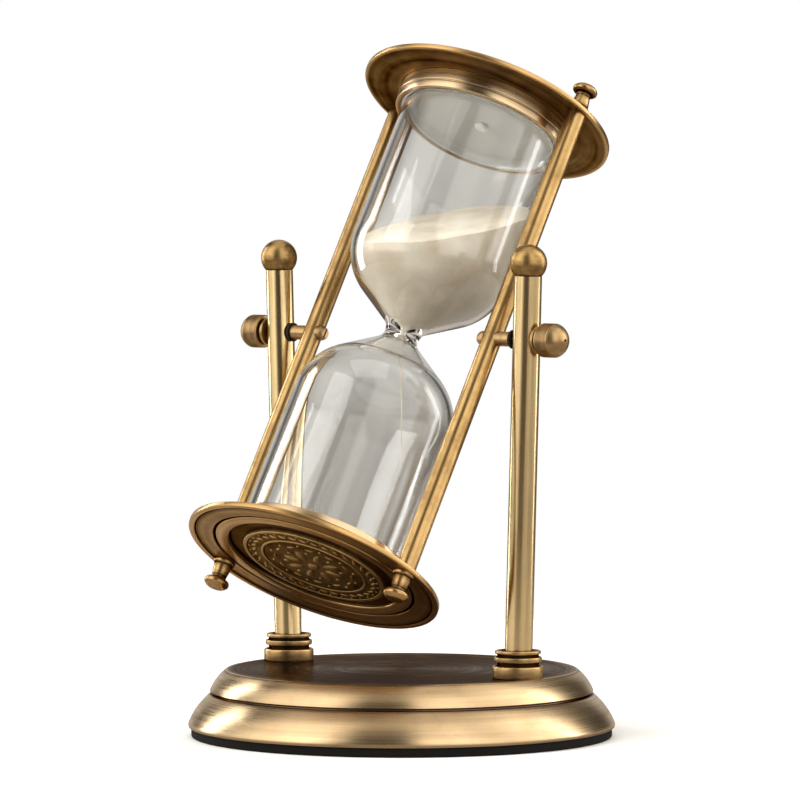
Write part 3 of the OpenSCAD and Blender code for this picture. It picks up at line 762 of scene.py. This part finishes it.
def bulb_half(inset, waist_r, end_z):
    """Half a bulb's outline, a depth inside the outer face, from the neck to its end."""
    body_r, round_r, corner = glass_r - inset, shoulder_r - inset, end_corner - inset
    fillet = (shoulder_z - (body_r - waist_r) / math.tan(cone)) / math.tan(cone / 2) - round_r
    cone_degrees = math.degrees(cone)
    return (
        arc(waist_r + fillet, 0, fillet, 180, 180 - cone_degrees, 12)
        + arc(body_r - round_r, shoulder_z, round_r, -cone_degrees, 0, 20)
        + arc(body_r - corner, end_z - corner, corner, 0, 90, 10)
    )


# %% [markdown]
# Blown glass is never perfectly even. A very small ripple near the neck, where the tube was
# pinched in the flame, breaks up the highlights as in a real one.


# %% Bulb
def both_bulbs(inset, waist_r, end_z, ripple=0.0):
    """A whole outline, from the lower end to the upper end, as a path for the lathe."""
    half = bulb_half(inset, waist_r, end_z)
    whole = [(r, -z) for r, z in reversed(half[1:])] + half
    path = [(0.0, -end_z, 0.0, 0.0)]
    for r, z in whole:
        swing = ripple * math.exp(-((z / (9 * MM)) ** 2)) * math.sin(z / (0.9 * MM))
        path.append((r + swing, z, 0.0, 0.0))
    path.append((0.0, end_z, 0.0, 0.0))
    return path


def clear_glass():
    """Soda-lime glass that lets lamp light through to what it holds."""
    material, tree, shader = new_material("blown_soda_lime_glass")
    position = own_axis(tree, GLASS)
    ripple = node(tree, "TexNoise", {"Vector": position, "Scale": 55.0, "Detail": 1.0}).outputs[0]
    waves = node(tree, "Bump", {"Height": ripple, "Strength": 0.12, "Distance": 0.6 * MM})
    tree.links.new(waves.outputs[0], shader.inputs["Normal"])
    shader.inputs["Base Color"].default_value = linear("FBFCFB")
    shader.inputs["Roughness"].default_value = 0.0
    shader.inputs["IOR"].default_value = 1.52
    shader.inputs["Transmission Weight"].default_value = 1.0
    lamp_ray = node(tree, "LightPath").outputs["Is Shadow Ray"]
    clear = node(tree, "BsdfTransparent", {"Color": linear("EDEFEE")})
    mix = node(tree, "MixShader", {0: lamp_ray, 1: shader.outputs[0], 2: clear.outputs[0]})
    output = next(n for n in tree.nodes if n.type == "OUTPUT_MATERIAL")
    tree.links.new(mix.outputs[0], output.inputs["Surface"])
    return material


bulb_mesh = swept(both_bulbs(0, neck_r, glass_end, 0.05 * MM), steps=192)
inner = swept(both_bulbs(glass_wall, bore_r, glass_end - end_wall, 0.08 * MM), steps=192)
bmesh.ops.reverse_faces(inner, faces=inner.faces)
inner_mesh = bpy.data.meshes.new("inner_wall")
inner.to_mesh(inner_mesh)
inner.free()
bulb_mesh.from_mesh(inner_mesh)
bpy.data.meshes.remove(inner_mesh)
bulb = finished_piece("blown_bulbs", bulb_mesh, GLASS, "glass_frame", ("glass_bulb",))
bulb.data.materials.append(clear_glass())
print("blown", len(bulb.data.vertices), "points")

# %% [markdown]
# ## The sand
#
# The sand is fine pale quartz. In the upper bulb it lies against the glass and its top is a slope that
# hasn't levelled since the frame was tipped. Its side follows the bulb's inner outline up to where
# the slope meets the glass, which is found for each direction by halving an interval.


# %% Sand shape
random.seed(7)
sand_gap = 0.12 * MM
sand_path = bulb_half(glass_wall + sand_gap, bore_r - sand_gap, glass_end - end_wall)
_, sand_low, _ = measure("sand_charge", GLASS)
sand_points = [to_glass @ v.co for v in frame["nodes"]["sand_charge"].data.vertices]
sand_slope = math.tan(tilt + math.radians(10))
top_edge = max(sand_points, key=lambda p: p.z)
sand_level = top_edge.z - top_edge.y * sand_slope


def wall_radius(z):
    """Radius of the sand where it lies against the glass at height z."""
    for (r0, z0), (r1, z1) in zip(sand_path, sand_path[1:]):
        if z0 <= z <= z1 and z1 > z0:
            return r0 + (r1 - r0) * (z - z0) / (z1 - z0)
    return sand_path[0][0]


def surface_height(r, angle):
    """The sloping top, with a shallow dip over the neck and soft wind-like waves."""
    x, y = r * math.cos(angle), r * math.sin(angle)
    dip = 1.6 * MM * math.exp(-((r / (8 * MM)) ** 2))
    wave = 0.25 * MM * math.sin(x / (4.1 * MM) + 1.0) * math.sin(y / (5.3 * MM))
    return sand_level + y * sand_slope - dip + wave


def contact_radius(angle):
    """Where the top meets the glass in one direction."""
    inside, outside = 0.0, glass_r
    for _ in range(40):
        middle = (inside + outside) / 2
        if middle < wall_radius(surface_height(middle, angle)):
            inside = middle
        else:
            outside = middle
    return inside


print("sand surface", round(sand_level / MM, 1), "mm above the neck")

# %% Sand body
sand_steps, side_steps, top_steps = 128, 40, 24
sand_bm = bmesh.new()
columns = []
tail = sand_bm.verts.new((0, 0, sand_low))
middle_top = sand_bm.verts.new((0, 0, surface_height(0, 0)))
for k in range(sand_steps):
    angle = 2 * math.pi * k / sand_steps
    reach = contact_radius(angle)
    brim = surface_height(reach, angle)
    column = [(bore_r - sand_gap, sand_low)]
    for s in range(side_steps + 1):
        z = brim * (s / side_steps)
        column.append((min(wall_radius(z), glass_r), z))
    column[-1] = (reach, brim)
    for s in range(top_steps - 1, 0, -1):
        r = reach * s / top_steps
        column.append((r, surface_height(r, angle)))
    columns.append([sand_bm.verts.new((r * math.cos(angle), r * math.sin(angle), z)) for r, z in column])
for k in range(sand_steps):
    here, there = columns[k], columns[(k + 1) % sand_steps]
    sand_bm.faces.new((tail, there[0], here[0]))
    for s in range(len(here) - 1):
        sand_bm.faces.new((here[s], there[s], there[s + 1], here[s + 1]))
    sand_bm.faces.new((here[-1], there[-1], middle_top))
bmesh.ops.recalc_face_normals(sand_bm, faces=sand_bm.faces)
sand = finished_piece("quartz_sand_fill", sand_bm, GLASS, "glass_frame", ("sand_charge",), 50)
print("sand has", len(sand.data.vertices), "points")


# %% [markdown]
# Quartz grains are about 0.15 mm across. Each grain scatters light, so sand has no shine as a whole, and
# a little light travels between grains and softens its shadows. The grain is drawn at 0.3 mm so
# that it shows, with slow drifts of darker and warmer grains where the sand has sorted itself.


# %% Sand material
def quartz_sand():
    """Pale sand that scatters light, with drifts and single grains of a darker tone."""
    material, tree, shader = new_material("pale_quartz_sand")
    position = own_axis(tree, GLASS)
    grain = node(tree, "TexVoronoi", {"Vector": position, "Scale": 1 / (0.3 * MM)})
    drift = node(tree, "TexNoise", {"Vector": position, "Scale": 1 / (11 * MM), "Detail": 3.0}).outputs[0]
    fine = node(tree, "TexNoise", {"Vector": position, "Scale": 1 / (0.5 * MM), "Detail": 4.0}).outputs[0]
    tint = node(tree, "MapRange", {"Value": drift, "From Min": 0.35, "From Max": 0.7})
    grounds = {"Factor": tint, 6: linear("DDD3C3"), 7: linear("C8B9A3")}
    ground = node(tree, "Mix", grounds, data_type="RGBA").outputs[2]
    single = node(tree, "SeparateColor", {0: grain.outputs["Color"]})
    spark = node(tree, "MapRange", {"Value": single, "To Max": 0.22})
    grains = {"Factor": spark, 6: ground, 7: linear("B5A288")}
    colour = node(tree, "Mix", grains, data_type="RGBA").outputs[2]
    tree.links.new(colour, shader.inputs["Base Color"])
    height = node(tree, "Math", {0: grain.outputs["Distance"], 1: fine}, operation="ADD")
    bump = node(tree, "Bump", {"Height": height, "Strength": 0.5, "Distance": 0.12 * MM})
    tree.links.new(bump.outputs[0], shader.inputs["Normal"])
    shader.inputs["Roughness"].default_value = 0.95
    shader.inputs["IOR"].default_value = 1.54
    shader.inputs["Subsurface Weight"].default_value = 0.15
    shader.inputs["Subsurface Scale"].default_value = 0.6 * MM
    return material


sand_material = quartz_sand()
sand.data.materials.append(sand_material)

# %% [markdown]
# A thread of sand falls straight down from the neck. It follows gravity, not the glass, and it thins
# as it speeds up. It is a line of tiny beads, close enough to read as one thread.

# %% Falling sand
fall_bm = bmesh.new()
gravity = (to_glass.to_3x3() @ Vector((0, 0, -1))).normalized()
fall_length = 36 * MM
drop = 1.6 * MM
beads = 0
while drop < fall_length:
    size = 0.34 * MM * (1 - 0.4 * drop / fall_length)
    stray = Vector((random.uniform(-1, 1), random.uniform(-1, 1), 0)) * 0.1 * MM
    place = Matrix.Translation(gravity * drop + stray)
    bmesh.ops.create_icosphere(fall_bm, subdivisions=1, radius=size, matrix=place)
    drop += size * 1.5
    beads += 1
falling = finished_piece("falling_sand", fall_bm, GLASS, "glass_frame")
falling.data.materials.append(sand_material)
print("falling sand drawn with", beads, "beads")

# %% [markdown]
# ## Plug, rods and rod nuts
#
# The bulb is filled through a small hole in its end, closed by a soft plug. The rods are drawn brass
# bar with a golden, uneven patina. Each end carries a closed nut: a wide foot, a waisted neck and
# a mushroom head to grip.

# %% Filling plug
plug_r, plug_low, plug_high = measure("filler_stopper", GLASS)
plug_material, plug_tree, plug_shader = new_material("cast_silicone_plug")
plug_noise = node(plug_tree, "TexNoise", {"Vector": own_axis(plug_tree, GLASS), "Scale": 1400.0})
plug_shades = {"Factor": plug_noise, 6: linear("EAE8E3"), 7: linear("CFCBC3")}
plug_colour = node(plug_tree, "Mix", plug_shades, data_type="RGBA")
plug_tree.links.new(plug_colour.outputs[2], plug_shader.inputs["Base Color"])
plug_bump = node(plug_tree, "Bump", {"Height": plug_noise, "Strength": 0.1, "Distance": 0.1 * MM})
plug_tree.links.new(plug_bump.outputs[0], plug_shader.inputs["Normal"])
plug_shader.inputs["Roughness"].default_value = 0.35
plug_outline = [
    (0, plug_low), (plug_r - 0.4 * MM, plug_low, 0.3 * MM), (plug_r, plug_low + 0.8 * MM, 0.2 * MM),
    (plug_r, plug_high, 0.1 * MM), (0, plug_high),
]
turned_piece("filling_plug", plug_outline, GLASS, "glass_frame", "filler_stopper", plug_material,
             steps=48)

# %% Rods
rod_x = {}
for side, sign in SIDES.items():
    low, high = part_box(f"rod_{side}")
    rod_x[side] = (low.x + high.x) / 2
    rod_place = GLASS @ Matrix.Translation((rod_x[side], 0, 0))
    rod_brass = brass(f"drawn_rod_brass_{side}", rod_place, "C8A56E", "6A4A22", 0.26, marks="drawn",
                      spacing=0.35 * MM, mottle=0.5, mottle_size=7 * MM)
    coat(f"rod_{side}", rod_brass)
print("rods at", {k: round(v / MM, 1) for k, v in rod_x.items()})

# %% Rod nuts
for end, end_sign in ENDS.items():
    for side in SIDES:
        nut_place = end_placement(end_sign) @ Matrix.Translation((rod_x[side], 0, 0))
        nut_head, nut_low, nut_top = measure(f"{end}_rod_nut_{side}", nut_place)
        nut_brass = brass(f"antiqued_nut_brass_{end}_{side}", nut_place, "C29D68", "36240F", 0.28,
                          spacing=0.2 * MM, mottle=0.35, mottle_size=3 * MM)
        nut_outline = [
            (0, 0), (3.6 * MM, 0, 0.2 * MM, 0.8), (3.6 * MM, 1.0 * MM, 0.4 * MM, 0.2),
            (3.0 * MM, 1.7 * MM, 0.4 * MM, 0.4), (2.75 * MM, 3.6 * MM, 1.2 * MM, 0.1),
            (2.4 * MM, 5.6 * MM, 0.8 * MM, 0.2), (2.4 * MM, 6.7 * MM, 0.4 * MM, 0.9),
            (3.6 * MM, 6.8 * MM, 0.4 * MM, 0.6), (nut_head, 7.4 * MM, 0.5 * MM, 0.1),
            (nut_head, 8.4 * MM, 0.7 * MM, 0.0), (3.0 * MM, 9.55 * MM, 0.9 * MM, 0.0),
            (0, nut_top - nut_low, 0, 0.0),
        ]
        lift = nut_place @ Matrix.Translation((0, 0, nut_low))
        turned_piece(f"{end}_nut_{side}", nut_outline, lift, "glass_frame", f"{end}_rod_nut_{side}",
                     nut_brass, steps=64)

# %% [markdown]
# ## Knobs and pivots
#
# A clamp knob is turned bronze-brown brass: an undercut neck, a straight grip with fine tool rings and a
# round end with the tiny dimple of the lathe's centre.

# %% Knobs
bronze = brass("brown_bronzed_brass", pivot_placement(RIGHT), "C9A878", "4E3822", 0.32,
               spacing=0.3 * MM, mottle=0.35, mottle_size=4 * MM)
for side, sign in SIDES.items():
    placement = pivot_placement(sign)
    knob_r, knob_low, knob_high = measure(f"knob_{side}", placement)
    knob_l = knob_high - knob_low
    dome_r = knob_r * 1.06
    dome_start = math.asin(knob_r / dome_r)
    dome = []
    for k in range(1, 17):
        a = math.pi / 2 - dome_start + dome_start * k / 16
        dome.append((dome_r * math.cos(a), knob_l - dome_r + dome_r * math.sin(a), 0, 0.1))
    dome = [p for p in dome if p[0] > 0.7 * MM]
    knob_outline = [
        (0, 0, 0, 1), (3.6 * MM, 0, 0, 1), (3.6 * MM, 1.0 * MM, 0.2 * MM, 1.0),
        (knob_r, 1.0 * MM, 0.9 * MM, 0.3),
        (knob_r, knob_l - dome_r + dome_r * math.cos(dome_start), 0.5 * MM, 0.35),
        *dome,
        (0.55 * MM, knob_l, 0.1 * MM, 0.4), (0.35 * MM, knob_l - 0.35 * MM, 0.1 * MM, 1.0),
        (0, knob_l - 0.4 * MM, 0, 1.0),
    ]
    lift = placement @ Matrix.Translation((0, 0, knob_low))
    turned_piece(f"clamp_knob_{side}", knob_outline, lift, f"{side}_knob", f"knob_{side}",
                 bronze, steps=96)

# %% [markdown]
# Small turned parts keep their engineering shape: screws with their slots, sleeves, washers
# and bushes. They get the same bronzed finish, and the fibre washers a dark pressed one.

# %% Small parts
fibre = foam("pressed_dark_fibre", "2E231B", "17110D", 0.3 * MM)
for side in SIDES:
    for piece, finish in (
        ("pivot_screw", bronze), ("pivot_sleeve", bronze), ("knob_washer", bronze),
        ("pivot_bush", bronze), ("friction_washer", fibre),
    ):
        coat(f"{piece}_{side}", finish)


# %% [markdown]
# ## Inside the foot
#
# Nobody sees the ballast, but anyone who takes the foot apart will: grey cast iron with a sandy skin, a
# black enamelled plate, and zinc-plated bolts.


# %% Hidden metal
def plain_metal(name, colour, dark, roughness, grain, bump, metallic):
    """A metal or enamel surface with an even grain of a given size."""
    material, tree, shader = new_material(name)
    position = node(tree, "TexCoord").outputs["Object"]
    noise = node(tree, "TexNoise", {"Vector": position, "Scale": 1 / grain, "Detail": 6.0})
    shades = {"Factor": noise, 6: linear(colour), 7: linear(dark)}
    mixture = node(tree, "Mix", shades, data_type="RGBA")
    tree.links.new(mixture.outputs[2], shader.inputs["Base Color"])
    spread = {"Value": noise, "To Min": roughness * 0.8, "To Max": roughness * 1.2}
    rough = node(tree, "MapRange", spread)
    tree.links.new(rough.outputs[0], shader.inputs["Roughness"])
    skin = node(tree, "Bump", {"Height": noise, "Strength": bump, "Distance": 0.2 * MM})
    tree.links.new(skin.outputs[0], shader.inputs["Normal"])
    shader.inputs["Metallic"].default_value = metallic
    return material


cast_iron = plain_metal("sand_cast_iron", "5A5A5C", "2C2C2E", 0.65, 0.8 * MM, 0.6, 1.0)
enamel = plain_metal("black_enamel", "1C1C1D", "101011", 0.35, 1.5 * MM, 0.15, 0.0)
zinc = plain_metal("zinc_plated_steel", "C9CBCE", "93969A", 0.3, 0.6 * MM, 0.1, 1.0)
hidden = {
    "base_weight": cast_iron, "base_plate": enamel, "base_screw": zinc,
    "post_bolt_left": zinc, "post_bolt_right": zinc,
    "post_washer_left": zinc, "post_washer_right": zinc,
}
for name, finish in hidden.items():
    coat(name, finish)

# %% [markdown]
# Engineering meshes come with flat facets on their round faces. Shading them smooth, except
# across real edges, gives the bars their round gloss without moving a single point.

# %% Smooth shading of kept pieces
for cad_node in frame["nodes"].values():
    cad_node.data.shade_smooth()
    cad_node.data.set_sharp_from_angle(angle=math.radians(35))

# %% [markdown]
# ## The studio
#
# Metal shows its surroundings more than itself. Bright walls on the left and the right put long
# bands of light on the posts, and the dim gap between them gives each bar its dark stripe.
# The floor is a small round of pale paper. What the metal mirrors of it is kept dimmer than the
# paper itself, or the undersides of the discs would look washed out.


# %% Floor
def studio_floor():
    """A round of pale paper, with a faint tooth so that it isn't a single flat colour."""
    bm = bmesh.new()
    bmesh.ops.create_circle(bm, cap_ends=True, segments=96, radius=0.45)
    mesh = bpy.data.meshes.new("studio_floor")
    bm.to_mesh(mesh)
    bm.free()
    floor = bpy.data.objects.new("studio_floor", mesh)
    floor.location.z = cad_low.z - 0.05 * MM
    bpy.context.scene.collection.objects.link(floor)
    material, tree, shader = new_material("pale_paper_floor")
    tooth = node(tree, "TexNoise", {"Scale": 40.0, "Detail": 3.0})
    papers = {"Factor": tooth, 6: linear("FFFFFF"), 7: linear("FAFAF8")}
    paper = node(tree, "Mix", papers, data_type="RGBA").outputs[2]
    glossy = node(tree, "LightPath").outputs["Is Glossy Ray"]
    mirrored = node(tree, "Math", {0: glossy, 1: 0.8}, operation="MULTIPLY")
    dimmed = {"Factor": mirrored, 6: paper, 7: linear("7A6E62")}
    shade = node(tree, "Mix", dimmed, data_type="RGBA").outputs[2]
    tree.links.new(shade, shader.inputs["Base Color"])
    shader.inputs["Roughness"].default_value = 0.9
    floor.data.materials.append(material)


studio_floor()


# %% [markdown]
# Lamps light the sand, the foam and the paper, which scatter light. They are hidden from
# mirror-like reflections, except two tall strips, left and right, that draw long highlights down
# the glass. Angles are measured around the object from the viewer's side, negative to the left.

# %% Lights
VIEW_AZIMUTH = 40.27
VIEW_ELEVATION = 2.79
middle = (cad_low + cad_high) / 2


def direction(azimuth, elevation):
    """Unit vector from the object, azimuth 0 being the side that faces -Y."""
    a, e = math.radians(azimuth), math.radians(elevation)
    return Vector((math.sin(a) * math.cos(e), -math.cos(a) * math.cos(e), math.sin(e)))


def soft_light(name, around_viewer, elevation, distance, size, power, mirrored=False):
    """A rectangular soft light aimed at the middle of the object."""
    lamp = bpy.data.lights.new(name, "AREA")
    lamp.shape = "RECTANGLE"
    lamp.size, lamp.size_y = size
    lamp.energy = power
    light = bpy.data.objects.new(name, lamp)
    light.visible_glossy = mirrored
    away = direction(VIEW_AZIMUTH + around_viewer, elevation)
    light.location = middle + away * distance
    light.rotation_euler = away.to_track_quat("Z", "Y").to_euler()
    bpy.context.scene.collection.objects.link(light)


soft_light("left_fill", -60, 35, 1.2, (0.8, 0.8), 7)
soft_light("overhead", 0, 80, 1.2, (0.9, 0.9), 5.5)
soft_light("left_strip", -126, 8, 1.0, (0.22, 0.9), 3.6, mirrored=True)
soft_light("right_strip", 104, 12, 1.0, (0.08, 0.9), 1.0, mirrored=True)

# %% [markdown]
# The room is painted on the world, as brightness by direction. The viewer sees a white backdrop;
# reflections see two bright walls, a dim gap where the viewer stands, dark corners, and a pale
# grey wall behind, which is what gives clear glass its soft grey body.

# %% World
ROOM = [
    (-180, 0.57), (-163, 0.62), (-150, 0.06), (-118, 0.06), (-98, 1.4), (-52, 2.3), (-30, 0.05), (4, 0.05),
    (12, 1.5), (38, 1.9), (54, 1.3), (72, 1.4), (88, 2.0), (112, 2.1), (124, 0.08), (150, 0.06),
    (163, 0.58), (180, 0.57),
]
ROOM_GAIN = 2.3
world = bpy.data.worlds.new("studio_room")
bpy.context.scene.world = world
world.use_nodes = True
room = world.node_tree
room.nodes.clear()
looking = node(room, "TexCoord").outputs["Generated"]
facing = {"Vector": looking, "Rotation": (0, 0, -math.radians(VIEW_AZIMUTH))}
from_viewer = node(room, "Mapping", facing, vector_type="VECTOR")
side_x, side_y, height = node(room, "SeparateXYZ", {0: from_viewer}).outputs
towards = node(room, "Math", {0: side_y, 1: -1.0}, operation="MULTIPLY")
bearing = node(room, "Math", {0: side_x, 1: towards}, operation="ARCTAN2")
full_turn = {"Value": bearing, "From Min": -math.pi, "From Max": math.pi}
turn_share = node(room, "MapRange", full_turn)
walls = node(room, "ValToRGB", {0: turn_share})
stops = walls.color_ramp.elements
while len(stops) < len(ROOM):
    stops.new(0.5)
for stop, (angle, brightness) in zip(stops, ROOM):
    stop.position = (angle + 180) / 360
    stop.color = [brightness / ROOM_GAIN * share for share in linear("FFFAF3")[:3]] + [1]
ceiling = node(room, "MapRange", {"Value": height, "From Min": 0.75, "From Max": 0.97})
below = node(room, "MapRange", {"Value": height, "From Min": 0.0, "From Max": -0.12})
upward = {"Factor": ceiling, 6: walls.outputs[0], 7: linear("99948D")}
roofed = node(room, "Mix", upward, data_type="RGBA").outputs[2]
downward = {"Factor": below, 6: roofed, 7: linear("463D35")}
painted = node(room, "Mix", downward, data_type="RGBA").outputs[2]
lit = node(room, "Background", {"Color": painted, "Strength": ROOM_GAIN})
seen = node(room, "Background", {"Color": linear("FFFFFF"), "Strength": 1.0})
camera_ray = node(room, "LightPath").outputs["Is Camera Ray"]
backdrop = node(room, "MixShader", {0: camera_ray, 1: lit.outputs[0], 2: seen.outputs[0]})
node(room, "OutputWorld", {"Surface": backdrop.outputs[0]})
bpy.context.scene.view_settings.view_transform = "Standard"

# %% [markdown]
# The camera stands two metres off with a long lens, about ten centimetres above the middle of the
# hourglass, and looks almost level. From so far away it is seen almost without perspective.

# %% Camera
VIEW_DISTANCE = 1.983
LENS_MM = 272.6
AIM_ASIDE = 0.7 * MM
AIM_HEIGHT = 0.4857  # as a share of the hourglass's height
camera_data = bpy.data.cameras.new("catalogue_camera")
camera_data.lens = LENS_MM
camera_data.sensor_width = 36.0
camera_data.clip_end = 30.0
camera = bpy.data.objects.new("catalogue_camera", camera_data)
aim_z = cad_low.z + AIM_HEIGHT * (cad_high.z - cad_low.z)
target = Vector((middle.x - AIM_ASIDE, middle.y, aim_z))
away = direction(VIEW_AZIMUTH, VIEW_ELEVATION)
camera.location = target + away * VIEW_DISTANCE
camera.rotation_euler = away.to_track_quat("Z", "Y").to_euler()
bpy.context.scene.collection.objects.link(camera)
bpy.context.scene.camera = camera
print("camera at", [round(v, 3) for v in camera.location])
